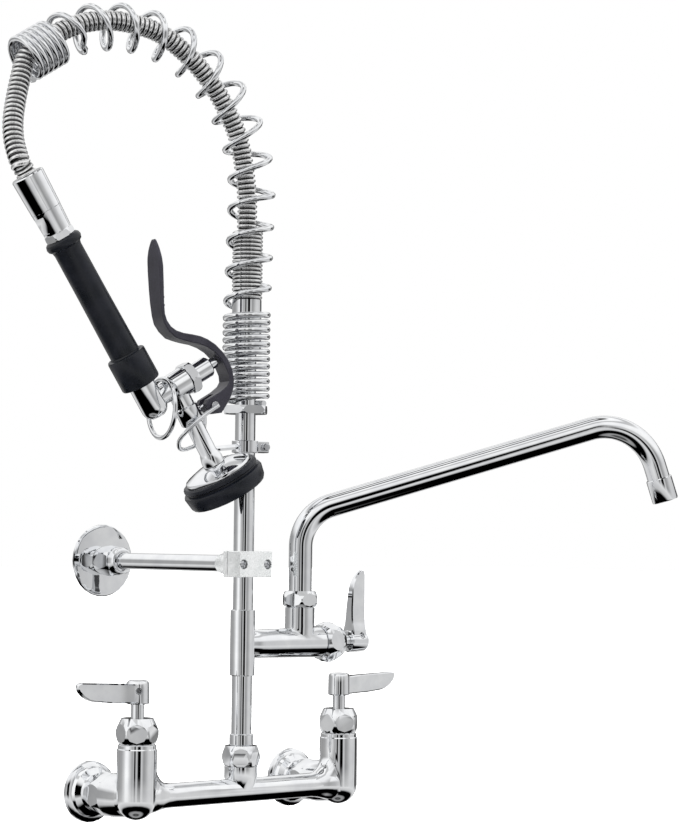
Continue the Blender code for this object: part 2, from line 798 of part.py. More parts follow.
def spring_line():
    """The spring's centre line, upright from its nut and then round the arc."""
    base = SPRING_NUT_TOP + SPRING_WIRE_R + GAP
    tight_top = base + TIGHT_TURNS * TIGHT_PITCH
    points = [Vector((0, 0, base)), Vector((0, 0, tight_top))]
    for i in range(1, 4):
        share = i / 4
        height = tight_top + (ARC_CENTRE[1] - tight_top) * share
        points.append(Vector((3 * MM * share, 0, height)))
    points += [arc_point(ARC_END * i / 24) for i in range(25)]
    points.append(Vector((MOUTH[0], 0, MOUTH[1])))
    return smooth_path(points, 3)


def along(points, distance):
    """The point and the direction at a distance along a line."""
    for a, b in zip(points, points[1:]):
        step = (b - a).length
        if distance <= step or b is points[-1]:
            return a + (b - a) * (distance / step), (b - a).normalized()
        distance -= step


def guard_spring(arc_frame):
    line = spring_line()
    length = sum((b - a).length for a, b in zip(line, line[1:]))
    tight = TIGHT_TURNS * TIGHT_PITCH
    end = END_TURNS * END_PITCH
    total = TIGHT_TURNS + OPEN_TURNS + END_TURNS
    points = []
    for i in range(round(total * TURN_POINTS) + 1):
        turn = i / TURN_POINTS
        if turn <= TIGHT_TURNS:
            distance = turn * TIGHT_PITCH
        elif turn <= TIGHT_TURNS + OPEN_TURNS:
            share = (turn - TIGHT_TURNS) / OPEN_TURNS
            share -= OPEN_SPREAD * math.sin(math.tau * share)
            distance = tight + (length - tight - end) * share
        else:
            distance = length - end + end * (turn - TIGHT_TURNS - OPEN_TURNS) / END_TURNS
        middle, forward = along(line, distance)
        side = Vector((0, 1, 0))
        out = side.cross(forward).normalized()
        angle = math.tau * turn
        points.append(middle + (out * math.cos(angle) + side * math.sin(angle)) * SPRING_R)
    place(wire("guard_spring", points, SPRING_WIRE_R, CHROME, sides=1), parent=arc_frame)


def swivel_top():
    """The point where the hose enters the swivel, and the swivel's direction, in the arc's frame."""
    up = Matrix.Rotation(SPRAY_TILT + GRIP_LEAN, 3, "Y") @ Vector((0, 0, 1))
    foot = Matrix.Rotation(SPRAY_TILT, 3, "Y") @ Vector((GRIP_X, 0, 0))
    return Vector(SPRAY_AT) + foot + up * (SWIVEL_TOP + GAP), up


def hose_route():
    """Up from the ferrule, inside the arc's line and then outside it, down to the swivel."""
    points = [Vector((0, 0, HOSE_START)), Vector((0, 0, 415 * MM)), Vector((-1 * MM, 0, 438 * MM))]
    centre = Vector((ARC_CENTRE[0], 0, ARC_CENTRE[1]))
    for degrees, offset in HOSE_OFFSETS:
        point = arc_point(math.radians(degrees))
        points.append(point + (point - centre).normalized() * offset * MM)
    top, up = swivel_top()
    points += [
        Vector((-183.0, 0, 568.6)) * MM,
        Vector((-193.8, -1, 557.5)) * MM,
        Vector((-199.8, -4.5, 541)) * MM,
        Vector((-205.4, -9.5, 523)) * MM,
        Vector((-210.2, -16, 506)) * MM,
        Vector((-212.0, -22.5, 490)) * MM,
        top + up * 11 * MM,
        top + up * 4 * MM,
        top,
    ]
    return smooth_path(points, 3)


def hose(arc_frame):
    place(wire("hose", hose_route(), HOSE_R, STEEL, sides=1), parent=arc_frame)
    ferrule = turned("hose_ferrule", [
        (8.3, 386.0),
        (11.3, 386.0),
        (11.8, 385.5),
        (11.8, 346.5),
        (11.3, 346.0),
        (8.3, 346.0),
    ], CHROME, ring=True)
    place(ferrule, parent=arc_frame)
    ribs = []
    pitch = 7.8
    count = 7
    for i in range(count):
        base = 386.3 + i * pitch
        ribs += [(11.2, base + 0.4), (12.2, base + 3.9)]
    top = 386.3 + count * pitch
    profile = [(8.9, 386.3), *ribs, (8.9, top)]
    sleeve = turned("hose_sleeve", profile, STEEL, ring=True, steps=14)
    place(sleeve, parent=arc_frame)
    nut, helpers = hex_nut("spring_nut", 19.0 * MM, SPRING_NUT_TOP, SPRING_NUT_Z, RISER_R + GAP,
                           17.6 * MM, 17.2 * MM)
    place_all([nut, *helpers], rotation=(0, 0, math.radians(25)), parent=arc_frame)


# Hand spray, upright in its own frame: +Z up the grip, +X toward the lever


def spray_grip(frame):
    """Swivel and rubber grip; frame's Z is the grip's own axis."""
    swivel = turned("swivel_ferrule", [
        (0, SWIVEL_TOP / MM),
        (12.0, SWIVEL_TOP / MM),
        (12.8, 191.5),
        (11.9, 163.2),
        (0, 163.2),
    ], CHROME)
    hollow_profile = [(0, 200), (5, 200), (5, 169), (8.3, 169), (8.3, 150), (0, 150)]
    hollow = turned("swivel_hollow", hollow_profile, steps=14)
    place_all([swivel, hollow], parent=frame)
    cut(swivel, hollow)
    nut = turned("swivel_nut", [
        (5.0, 168.2),
        (7.7, 168.2),
        (7.7, 162.9),
        (11.8, 162.9),
        (11.0, 145.4),
        (9.8, 145.2),
        (9.8, 139.5),
        (5.0, 139.5),
    ], CHROME, ring=True)
    place(nut, parent=frame)
    collar, helpers = hex_nut("swivel_collar", 12.0 * MM, 144.6 * MM, 139.5 * MM, 6.0 * MM,
                              11.4 * MM, 11.4 * MM, None)
    place_all([collar, *helpers], rotation=(0, 0, math.radians(15)), parent=frame)
    join(nut, collar)
    turn = math.radians(9)
    for side in (-1, 1):
        flat = box(f"swivel_flat_{side}", (4 * MM, 30 * MM, 13 * MM))
        reach = side * 11.9 * MM
        place(flat, (reach * math.cos(turn), reach * math.sin(turn), 153.5 * MM), (0, 0, turn), frame)
        cut(nut, flat)
    grip = turned("grip", [
        (8.0, 139.2),
        (12.2, 139.2),
        (13.8, 137.8),
        (14.4, 135.4),
        (13.6, 133.0),
        (11.8, 131.6),
        (11.2, 129.0),
        (11.3, 90.0),
        (11.8, 39.6),
        (12.6, 38.6),
        (14.9, 38.2),
        (15.5, 37.0),
        (15.6, 14.4),
        (14.9, 13.0),
        (8.0, 13.0),
    ], BLACK_RUBBER, ring=True, steps=20)
    place(grip, parent=frame)


def spray_body(frame, grip_frame):
    body = turned("spray_body", [
        (0, 12.2),
        (10.0, 12.2),
        (10.4, 11.7),
        (10.4, -8.0),
        *arc((2.4, -8.0), 8.0, 0, -90, 4)[1:],
        (0, -16.0),
    ], CHROME)
    place(body, parent=grip_frame)
    barrel = turned("barrel", [
        (0, 33.2),
        (10.7, 33.2),
        (11.0, 32.8),
        (11.0, 19.6),
        (10.4, 18.8),
        (8.0, 18.2),
        (8.0, 0),
        (0, 0),
    ])
    place(barrel, (0, 0, BARREL_Z), X_AXIS, frame)
    outlet_profile = [(0, 0), (7.9, 0), (7.9, -19.5), (9.2, -20.5), (9.2, -33.0), (8.4, -34.4), (0, -34.4)]
    outlet = turned("spray_outlet", outlet_profile)
    place(outlet, (SHANK_X, 0, 0), parent=frame)
    yoke = box("yoke", (24 * MM, 6.0 * MM, 8.4 * MM), bevel=1.0 * MM)
    place(yoke, (34.0 * MM, 0, PIVOT[1]), parent=frame)
    join(body, barrel, outlet, yoke)
    feed = rod("spray_feed", 5.0 * MM, 20 * MM, -6 * MM, steps=SMALL)
    place(feed, parent=grip_frame)
    chamber_profile = [(0, 40), (8.6, 40), (8.6, 20.5), (4.2, 20.5), (4.2, -2), (0, -2)]
    chamber = turned("spray_chamber", chamber_profile, steps=SMALL)
    place(chamber, (0, 0, BARREL_Z), X_AXIS, frame)
    drain = rod("spray_drain", 4.0 * MM, -2 * MM, -60 * MM, steps=SMALL)
    place(drain, (SHANK_X, 0, 0), parent=frame)
    socket = rod("spray_socket", 7.3 * MM, -26 * MM, -60 * MM)
    place(socket, (SHANK_X, 0, 0), parent=frame)
    pin_hole = rod("yoke_hole", 2.05 * MM, 20 * MM, -20 * MM, steps=SMALL)
    place(pin_hole, (PIVOT[0], 0, PIVOT[1]), UPRIGHT, frame)
    cut(body, feed, chamber, drain, socket, pin_hole)


def spray_plunger(frame):
    """The barrel's packing nut, a hexagon with a round neck, and the plunger in it."""
    at = (0, 0, BARREL_Z)
    nut, helpers = hex_nut("packing_nut", 13.4 * MM, 40.4 * MM, 33.5 * MM, 4.9 * MM, 12.4 * MM, 12.6 * MM)
    neck = turned("packing_neck", [
        (5.2, 56.2),
        (7.4, 56.2),
        (8.2, 55.2),
        (8.2, 38.0),
        (5.2, 38.0),
    ], ring=True)
    join(nut, neck)
    place_all([nut, neck, *helpers], at, X_AXIS, frame)
    plunger = turned("plunger", [
        (0, 63.8),
        (3.3, 63.6),
        (4.3, 62.6),
        (4.3, 32.8),
        (7.8, 32.8),
        (7.8, 28.6),
        (3.6, 28.6),
        (3.6, 26.6),
        (0, 26.6),
    ], CHROME, steps=16)
    place(plunger, at, X_AXIS, frame)


LEVER_OUTER = [  # the spray lever's outer side, from the tip of the paddle round to the foot
    (64.0, 103.2),
    (60.9, 95.9),
    (58.6, 90.0),
    (56.0, 84.0),
    (52.5, 77.3),
    (47.5, 67.8),
    (41.6, 56.0),
    (39.3, 50.9),
    (38.4, 45.7),
    (39.2, 40.2),
    (41.6, 35.6),
    (46.1, 31.0),
    (52.6, 26.2),
    (58.0, 21.8),
    (62.3, 16.8),
    (66.2, 10.2),
    (68.8, 2.5),
    (70.1, -5.0),
    (69.5, -13.0),
    (66.8, -21.0),
    (63.0, -26.4),
    (58.3, -30.6),
    (52.6, -34.0),
    (44.5, -37.8),
    (36.6, -34.6),
]
LEVER_INNER = [  # and its inner side, from the foot back to the tip
    (34.8, -30.0),
    (35.8, -25.4),
    (38.8, -23.2),
    (52.0, -23.2),
    (59.0, -22.2),
    (62.6, -20.0),
    (64.5, -15.5),
    (65.0, -8.0),
    (64.6, -1.0),
    (62.3, 6.0),
    (58.6, 12.0),
    (53.5, 17.6),
    (47.5, 22.3),
    (42.5, 26.8),
    (38.0, 31.5),
    (35.6, 38.5),
    (34.9, 45.2),
    (36.6, 51.6),
    (40.0, 60.3),
    (44.2, 68.8),
    (49.1, 78.5),
    (52.6, 85.6),
    (55.6, 92.0),
    (58.8, 97.8),
    (62.4, 103.6),
]
PADDLE_HALF = [  # height and half width of the lever, seen along the barrel
    (104.4, 1.6),
    (102.6, 3.6),
    (100.0, 5.6),
    (96.5, 7.6),
    (92.5, 9.0),
    (89.0, 9.8),
    (83.0, 10.3),
    (70.0, 10.1),
    (60.0, 9.3),
    (35.0, 9.0),
    (-60.0, 9.0),
]


def spray_lever(frame):
    origin = (PIVOT[0], 0, PIVOT[1])
    outline = [(x - PIVOT[0] / MM, z - PIVOT[1] / MM) for x, z in LEVER_OUTER + LEVER_INNER]
    lever = plate("spray_lever", outline, 24 * MM, BLACK_PLASTIC)
    place(lever, origin, UPRIGHT, frame)
    front = plate("lever_front", PADDLE_HALF + mirrored(PADDLE_HALF), 200 * MM)
    place(front, (40 * MM, 0, 0), (0, math.radians(-90), 0), frame)
    combine(lever, [front], "INTERSECT")
    ease_edges(lever, 0.8 * MM)
    fork = box("lever_fork", (26 * MM, 6.6 * MM, 12.6 * MM))
    place(fork, (35.0 * MM, 0, -29.0 * MM), parent=frame)
    hole = rod("lever_hole", 2.05 * MM, 20 * MM, -20 * MM, steps=SMALL)
    place(hole, origin, UPRIGHT, frame)
    cut(lever, fork, hole)
    ridges = []
    for x, z in ((55.0, 82.5), (51.5, 75.9), (48.1, 69.3), (44.8, 62.7), (42.0, 57.2)):
        ridge = rod(f"lever_ridge_{len(ridges)}", 1.3 * MM, 7.4 * MM, -7.4 * MM, steps=8)
        place(ridge, (x * MM, 0, z * MM), UPRIGHT, frame)
        ridges.append(ridge)
    join(lever, *ridges)
    pin = turned("lever_pin", [
        (0, 10.4),
        (2.8, 10.4),
        (3.2, 10.0),
        (3.2, 9.3),
        (1.95, 9.3),
        (1.95, -9.3),
        (3.2, -9.3),
        (3.2, -10.0),
        (2.8, -10.4),
        (0, -10.4),
    ], STEEL, steps=SMALL)
    place(pin, origin, UPRIGHT, frame)


def spray_head(frame):
    at = (SHANK_X, 0, 0)
    shank = turned("spray_shank", [
        (4.0, -26.4),
        (6.9, -26.4),
        (6.9, -60.0),
        (7.6, -61.4),
        (8.6, -66.0),
        (8.6, -70.4),
        (4.0, -70.4),
    ], CHROME, ring=True)
    place(shank, at, parent=frame)
    dome = turned("spray_dome", [
        (4.0, -70.7),
        (10.5, -70.7),
        (16.0, -71.6),
        (24.4, -74.6),
        (26.6, -75.6),
        (26.9, -76.2),
        (26.9, -77.8),
        (26.0, -78.2),
        (26.0, -80.0),
        (4.0, -80.0),
    ], CHROME, ring=True, steps=FINE)
    place(dome, at, parent=frame)
    bumper = turned("spray_bumper", [
        (26.4, -78.6),
        (29.2, -78.4),
        (30.6, -79.4),
        (30.8, -81.8),
        (29.8, -82.6),
        (29.8, -83.8),
        (32.2, -84.6),
        (32.8, -86.4),
        (31.4, -94.4),
        (30.0, -96.4),
        (27.0, -96.6),
        (25.0, -94.6),
        (24.6, -80.3),
        (26.4, -80.3),
    ], BLACK_RUBBER, ring=True, steps=FINE)
    place(bumper, at, parent=frame)
    face = turned("spray_face", [
        (3.6, -80.3),
        (23.8, -80.3),
        (24.3, -81.0),
        (24.3, -90.4),
        (23.4, -91.4),
        (8.0, -91.4),
        (7.0, -90.6),
        (3.6, -90.6),
    ], STEEL, ring=True, steps=20)
    nozzles = []
    for i in range(6):
        turn = math.tau * (i + 0.27) / 6
        nozzle = rod(f"nozzle_{i}", 1.9 * MM, -78 * MM, -100 * MM, steps=6)
        place(nozzle, (SHANK_X + 15.5 * MM * math.cos(turn), 15.5 * MM * math.sin(turn), 0), parent=frame)
        nozzles.append(nozzle)
    place(face, at, parent=frame)
    cut(face, *nozzles)
    screw = turned("face_screw", [
        (0, -80.8),
        (3.2, -80.8),
        (3.2, -91.0),
        (5.2, -91.0),
        (5.2, -92.4),
        (4.0, -93.4),
        (0, -93.6),
    ], STEEL, steps=SMALL)
    slot = box("face_slot", (12 * MM, 1.2 * MM, 2.4 * MM))
    place_all([screw], at, parent=frame)
    place(slot, (SHANK_X, 0, -94.0 * MM), (0, 0, math.radians(30)), frame)
    cut(screw, slot)


def spray_wires(frame):
    """The ring that holds the lever down, and the bail that hangs the spray on its hook."""
    radius = 22.4 * MM
    top = Vector((16.3, 0, 7.4)) * MM
    down = Matrix.Rotation(-SPRAY_TILT, 3, "Y") @ Vector((0, 0, -1))
    across = Vector((0, 1, 0))
    turns = [math.tau * i / 24 for i in range(24)]
    loop = [across * radius * math.sin(t) + down * radius * (1 - math.cos(t)) for t in turns]
    place(wire("hold_ring", loop, 1.8 * MM, CHROME, closed=True, sides=1), top, parent=frame)
    pivot = Vector((PIVOT[0], 0, PIVOT[1]))
    route = [
        (43.0, -12.4, -30.6),
        (31.0, -12.4, -31.0),
        (19.0, -11.8, -32.6),
        (9.0, -7.5, -36.0),
        (5.0, 0.0, -41.0),
        (8.0, 10.0, -48.6),
        (17.0, 15.5, -53.0),
        (28.0, 16.2, -53.4),
        (38.0, 15.2, -44.0),
        (43.0, 12.4, -31.4),
    ]
    bail = [point - pivot for point in smooth_path([Vector(corner) * MM for corner in route], 3)]
    place(wire("hang_bail", bail, 1.6 * MM, CHROME, sides=1), pivot, parent=frame)


def build():
    mixing_body()
    for tag, side in (("hot", -1), ("cold", 1)):
        inlet_fittings(tag, side)
        frame = empty(tag + "_valve_axis", location=(side * CENTRES / 2, VALVE_Y, 0))
        turn = math.pi if side < 0 else 0.0
        valve_trim(tag, frame, turn - side * HANDLE_TURN, NUT_TURNS[tag])
    riser_coupling()
    tee_body()
    side_frame = empty("side_valve_axis", location=(BRANCH_NUT_SHIFT, VALVE_Y, BRANCH_Z), rotation=X_AXIS)
    valve_trim("side", side_frame, math.pi, NUT_TURNS["side"])
    spout()
    bracket()
    arc_frame = empty("arc_plane", location=(0, VALVE_Y, 0), rotation=(0, 0, ARC_ANGLE))
    finger_hook(arc_frame)
    guard_spring(arc_frame)
    hose(arc_frame)
    spray_frame = empty("spray_frame", arc_frame, SPRAY_AT, (0, SPRAY_TILT, 0))
    grip_frame = empty("grip_frame", spray_frame, (GRIP_X, 0, 0), (0, GRIP_LEAN, 0))
    spray_grip(grip_frame)
    spray_body(spray_frame, grip_frame)
    spray_plunger(spray_frame)
    spray_lever(spray_frame)
    spray_head(spray_frame)
    spray_wires(spray_frame)


build()
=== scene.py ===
"""Looks of the wall mounted pre-rinse faucet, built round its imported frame.

Metres, +Z up. The origin is on the wall, midway between the two inlets; the faucet stands toward -Y.
"""

import json
import math

import bmesh
import bpy
from mathutils import Matrix, Vector


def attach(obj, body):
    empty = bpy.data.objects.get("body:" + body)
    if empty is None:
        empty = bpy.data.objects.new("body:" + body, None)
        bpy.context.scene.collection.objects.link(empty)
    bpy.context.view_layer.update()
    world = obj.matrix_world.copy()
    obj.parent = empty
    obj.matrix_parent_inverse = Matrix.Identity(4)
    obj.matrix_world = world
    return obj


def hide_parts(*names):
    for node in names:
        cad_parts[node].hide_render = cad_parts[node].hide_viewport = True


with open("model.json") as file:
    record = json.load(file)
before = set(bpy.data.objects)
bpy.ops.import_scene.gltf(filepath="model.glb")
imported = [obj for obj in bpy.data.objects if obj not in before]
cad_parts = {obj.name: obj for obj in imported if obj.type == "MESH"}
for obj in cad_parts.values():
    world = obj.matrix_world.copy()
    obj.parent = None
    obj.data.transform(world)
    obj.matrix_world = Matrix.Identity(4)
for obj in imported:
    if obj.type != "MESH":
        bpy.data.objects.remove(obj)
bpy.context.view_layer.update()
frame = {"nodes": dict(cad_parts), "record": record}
NODES = frame["nodes"]
MM = 0.001

# The design's own dimensions, as in the CAD
VALVE_Y = -61.5 * MM
SPRING_BASE = 304.4 * MM
SPRING_R = 17.0 * MM
SPRING_WIRE_R = 2.3 * MM
TIGHT_PITCH = 5.85 * MM
TIGHT_TURNS = 12
OPEN_TURNS = 13.5
OPEN_SPREAD = 0.013  # how far the open turns are drawn together at both ends, as a share of their length
END_PITCH = 4.9 * MM
END_TURNS = 6
ARC_CENTRE = Vector((-112.0, 0, 470.0)) * MM
ARC_RADII = (115.0 * MM, 120.5 * MM)
ARC_END = math.radians(115)
ARC_LEAN = 3 * MM  # how far the arc's foot stands off the riser's axis
MOUTH = Vector((-196.0, 0, 556.0)) * MM
HOSE_R = 7.9 * MM
HOSE_START = 386.3 * MM
SPRAY_AT = Vector((-99.8, -30.0, 302.9)) * MM
SPRAY_TILT = math.radians(-31)
GRIP_X = -0.6 * MM
GRIP_LEAN = math.radians(-1.75)
SWIVEL_TOP = 192.6 * MM
SPOUT_AT = Vector((58.9 * MM, VALVE_Y, 0))
SPOUT_SWING = math.radians(-30)
SPOUT_R = 9.4 * MM
SPOUT_CORNERS = [(0, 0, 131 * MM), (0, 0, 217 * MM), (284 * MM, 0, 303.2 * MM), (304.9 * MM, 0, 238.9 * MM)]
SPOUT_BENDS = (35.0 * MM, 45.0 * MM)
SLEEVE_R = 12.1 * MM
SLEEVE_END_R = 9.4 * MM
SLEEVE_FROM, SLEEVE_TO = 386.3 * MM, 440.6 * MM
RING_R = 22.4 * MM
RING_TOP = Vector((16.3, 0, 7.4)) * MM
RING_WIRE_R = 1.8 * MM
BAIL_WIRE_R = 1.6 * MM

ARC_FRAME = Matrix.Translation((0, VALVE_Y, 0)) @ Matrix.Rotation(math.radians(-10), 4, "Z")
SPRAY_FRAME = ARC_FRAME @ Matrix.Translation(SPRAY_AT) @ Matrix.Rotation(SPRAY_TILT, 4, "Y")

# Camera

VIEW_AZIMUTH = math.radians(41.266)  # from +Y toward +X
VIEW_RISE = math.radians(2.924)
VIEW_ROLL = math.radians(0.645)
VIEW_FROM = (-1.2265, -1.5719, 0.1989)
LENS = 107.73
SENSOR = 36  # along the picture's longer side, in the lens's millimetres
CLIP_START = 0.05
CLIP_END = 100
FORWARD = Vector((math.sin(VIEW_AZIMUTH), math.cos(VIEW_AZIMUTH), 0))
RIGHT = Vector((math.cos(VIEW_AZIMUTH), -math.sin(VIEW_AZIMUTH), 0))


def camera():
    """Looks at the faucet from the room, a little from its left, and is rolled by under a degree."""
    look = FORWARD * math.cos(VIEW_RISE) + Vector((0, 0, math.sin(VIEW_RISE)))
    up = RIGHT.cross(look)
    across = RIGHT * math.cos(VIEW_ROLL) + up * math.sin(VIEW_ROLL)
    above = up * math.cos(VIEW_ROLL) - RIGHT * math.sin(VIEW_ROLL)
    data = bpy.data.cameras.new("view")
    data.lens = LENS
    data.sensor_width = SENSOR
    data.clip_start = CLIP_START
    data.clip_end = CLIP_END
    item = bpy.data.objects.new("view", data)
    bpy.context.scene.collection.objects.link(item)
    turn = Matrix((across, above, -look)).transposed().to_4x4()
    item.matrix_world = Matrix.Translation(VIEW_FROM) @ turn
    bpy.context.scene.camera = item


# Materials

# The part of a noise pattern's range that is used, since its values crowd round the middle
NOISE_LOW, NOISE_HIGH = 0.35, 0.65
POLISH_WAVES = 140  # per metre, the slow unevenness of a polished surface
WEAR_SPOTS = 70
MOULD_GRAIN = 0.00003  # depth in metres
MIX_FIRST, MIX_SECOND, MIX_RESULT = 6, 7, 2  # the colour sockets of a Mix node


def new_nodes(name):
    """A new material with its node tree and its shader."""
    material = bpy.data.materials.new(name)
    material.use_nodes = True
    tree = material.node_tree
    return material, tree, tree.nodes["Principled BSDF"]


def noise(tree, scale, detail):
    """A noise pattern over the piece's own coordinates; scale in blobs per metre."""
    where = tree.nodes.new("ShaderNodeTexCoord").outputs["Object"]
    texture = tree.nodes.new("ShaderNodeTexNoise")
    texture.inputs["Scale"].default_value = scale
    texture.inputs["Detail"].default_value = detail
    tree.links.new(where, texture.inputs["Vector"])
    return texture.outputs["Fac"]


def spread(tree, value, low, high, start=NOISE_LOW, stop=NOISE_HIGH):
    """Maps a noise value to the range low to high."""
    node = tree.nodes.new("ShaderNodeMapRange")
    node.inputs["From Min"].default_value = start
    node.inputs["From Max"].default_value = stop
    node.inputs["To Min"].default_value = low
    node.inputs["To Max"].default_value = high
    tree.links.new(value, node.inputs["Value"])
    return node.outputs["Result"]


def blend_colour(tree, value, first, second):
    """Goes from the first colour to the second as a noise value rises."""
    ramp = tree.nodes.new("ShaderNodeValToRGB")
    ramp.color_ramp.elements[0].position = NOISE_LOW
    ramp.color_ramp.elements[0].color = (*first, 1)
    ramp.color_ramp.elements[1].position = NOISE_HIGH
    ramp.color_ramp.elements[1].color = (*second, 1)
    tree.links.new(value, ramp.inputs["Fac"])
    return ramp.outputs["Color"]


def bump(tree, shader, value, depth):
    node = tree.nodes.new("ShaderNodeBump")
    node.inputs["Distance"].default_value = depth
    node.inputs["Strength"].default_value = 1.0
    tree.links.new(value, node.inputs["Height"])
    tree.links.new(node.outputs["Normal"], shader.inputs["Normal"])


METAL_CLOUDS = 90  # per metre
METAL_GRAIN = 2600
METAL_WAVE = 0.00002  # depth in metres
GRAIN_RANGE = (0.7, 1.3)  # how much the grain lowers or raises the roughness
GROOVE_SHADE_BAND = (0.05, 0.7)  # between these crown heights the painted shade in the grooves gives way to the metal's own colour


def metal(name, dark, light, rough, metallic=1.0, groove=None):
    """A plated or turned metal: cloudy tint, uneven polish, a slight waviness and painted shade in the
    grooves.
    """
    material, tree, shader = new_nodes(name)
    shader.inputs["Metallic"].default_value = metallic
    clouds = noise(tree, METAL_CLOUDS, 3)
    fine = noise(tree, METAL_GRAIN, 4)
    colour = blend_colour(tree, clouds, dark, light)
    # Painted shade: where a ring's crown is low, the near-black groove colour takes the place of the
    # metal's colour
    if groove:
        crown = tree.nodes.new("ShaderNodeAttribute")
        crown.attribute_name = "crown"
        mix = tree.nodes.new("ShaderNodeMix")
        mix.data_type = "RGBA"
        tree.links.new(spread(tree, crown.outputs["Fac"], 0, 1, *GROOVE_SHADE_BAND), mix.inputs["Factor"])
        mix.inputs[MIX_FIRST].default_value = (*groove, 1)
        tree.links.new(colour, mix.inputs[MIX_SECOND])
        colour = mix.outputs[MIX_RESULT]
    tree.links.new(colour, shader.inputs["Base Color"])
    polish = tree.nodes.new("ShaderNodeMath")
    polish.operation = "MULTIPLY"
    tree.links.new(spread(tree, clouds, *rough), polish.inputs[0])
    tree.links.new(spread(tree, fine, *GRAIN_RANGE), polish.inputs[1])
    tree.links.new(polish.outputs[0], shader.inputs["Roughness"])
    bump(tree, shader, noise(tree, POLISH_WAVES, 1), METAL_WAVE)
    return material


def moulded(name, dark, light, rough, grain, gloss=0.5):
    """Rubber or plastic with a fine moulded grain and a little handling wear."""
    material, tree, shader = new_nodes(name)
    shader.inputs["Specular IOR Level"].default_value = gloss
    wear = noise(tree, WEAR_SPOTS, 4)
    speckle = noise(tree, grain, 3)
    tree.links.new(blend_colour(tree, wear, dark, light), shader.inputs["Base Color"])
    tree.links.new(spread(tree, wear, *rough), shader.inputs["Roughness"])
    bump(tree, shader, speckle, MOULD_GRAIN)
    return material


def make_materials():
    return {
        "polished_chrome": metal("polished_chrome", (0.80, 0.81, 0.83), (0.88, 0.89, 0.90), (0.01, 0.04)),
        "spring_wire": metal("spring_wire", (0.74, 0.75, 0.77), (0.86, 0.87, 0.88), (0.02, 0.06)),
        # The armour's groove colour is painted shade in the grooves between its rings
        "hose_armour": metal("hose_armour", (0.74, 0.74, 0.74), (0.88, 0.88, 0.88), (0.08, 0.16),
                             groove=(0.04, 0.04, 0.04)),
        "turned_steel": metal("turned_steel", (0.55, 0.56, 0.58), (0.70, 0.71, 0.73), (0.18, 0.30)),
        "satin_plate": metal("satin_plate", (0.76, 0.78, 0.78), (0.86, 0.87, 0.87), (0.24, 0.34),
                             metallic=0.7),
        "valve_brass": metal("valve_brass", (0.62, 0.44, 0.18), (0.74, 0.56, 0.28), (0.2, 0.35)),
        "black_rubber": moulded("black_rubber", (0.003, 0.004, 0.006), (0.006, 0.007, 0.011),
                                (0.26, 0.36), 3200, gloss=0.3),
        "black_plastic": moulded("black_plastic", (0.012, 0.011, 0.018), (0.018, 0.017, 0.026),
                                 (0.30, 0.42), 2400),
    }


MATERIALS = make_materials()


# CAD nodes that stay: welded, and shaded round below an angle that keeps the nuts' faces flat

ROUND_BELOW = {"turned": math.radians(33), "hexagon": math.radians(24)}
WELD = 0.000005
CLAMP_BLOCKS = ("clamp_front", "clamp_back")  # satin, where the pieces round them are polished


def rounding_group(kind):
    tree = bpy.data.node_groups.new("rounding_" + kind, "GeometryNodeTree")
    tree.interface.new_socket("Geometry", in_out="INPUT", socket_type="NodeSocketGeometry")
    tree.interface.new_socket("Geometry", in_out="OUTPUT", socket_type="NodeSocketGeometry")
    nodes, links = tree.nodes, tree.links
    weld = nodes.new("GeometryNodeMergeByDistance")
    weld.inputs["Distance"].default_value = WELD
    plain = nodes.new("GeometryNodeRemoveAttribute")
    plain.inputs["Name"].default_value = "custom_normal"
    faces = nodes.new("GeometryNodeSetShadeSmooth")
    edges = nodes.new("GeometryNodeSetShadeSmooth")
    edges.domain = "EDGE"
    angle = nodes.new("GeometryNodeInputMeshEdgeAngle")
    below = nodes.new("ShaderNodeMath")
    below.operation = "LESS_THAN"
    below.inputs[1].default_value = ROUND_BELOW[kind]
    links.new(angle.outputs["Unsigned Angle"], below.inputs[0])
    chain = [nodes.new("NodeGroupInput"), weld, plain, faces, edges, nodes.new("NodeGroupOutput")]
    for before, after in zip(chain, chain[1:]):
        links.new(before.outputs["Geometry"], after.inputs["Geometry"])
    links.new(below.outputs[0], edges.inputs["Shade Smooth"])
    return tree


def finish_cad_nodes():
    groups = {kind: rounding_group(kind) for kind in ROUND_BELOW}
    slots = {part["node"]: part["material_slot"] for part in frame["record"]["subparts"]}
    for name, node in NODES.items():
        for slot in node.material_slots:
            slot.material = MATERIALS["satin_plate" if name in CLAMP_BLOCKS else slots[name]]
        modifier = node.modifiers.new("rounding", "NODES")
        modifier.node_group = groups["hexagon" if name.endswith("_nut") else "turned"]


# Fine pieces that stand for plain CAD solids

SHARP_FROM = math.radians(50)
STRAIGHT_STEPS = 4
ARC_STEPS = 24
LINE_STEPS = 6  # between two points of the spring's line
ROUTE_STEPS = 12  # between two points of the hose's route
BAIL_STEPS = 10
BEND_STEPS = 28
SPOUT_SIDES = 40
COIL_STEPS = 28  # per turn
COIL_SIDES = 14
COIL_R = SPRING_R - 0.3 * MM  # inside the plain coil's corners
HOSE_SIDES = 28
HOSE_PITCH = 4.0 * MM
HOSE_GROOVE = 1.5 * MM
HOSE_CROWN = [0.0, 0.55, 0.88, 1.0, 1.0, 0.88, 0.55, 0.0]  # heights over one ring, groove to groove
SLEEVE_SIDES = 32
SLEEVE_PITCH = 3.2 * MM
SLEEVE_GROOVE = 1.1 * MM
SLEEVE_CROWN = [0.0, 0.55, 0.85, 1.0, 1.0, 0.85, 0.55, 0.0]
RING_STEPS = 72
WIRE_SIDES = 16

def smooth_path(points, count):
    """Catmull-Rom through the points, count steps between each two."""
    ends = [points[0] * 2 - points[1]] + list(points) + [points[-1] * 2 - points[-2]]
    path = []
    for a, b, c, d in zip(ends, ends[1:], ends[2:], ends[3:]):
        for i in range(count):
            t = i / count
            path.append(0.5 * ((2 * b) + (c - a) * t + (2 * a - 5 * b + 4 * c - d) * t * t
                               + (3 * b - a - 3 * c + d) * t ** 3))
    path.append(Vector(points[-1]))
    return path


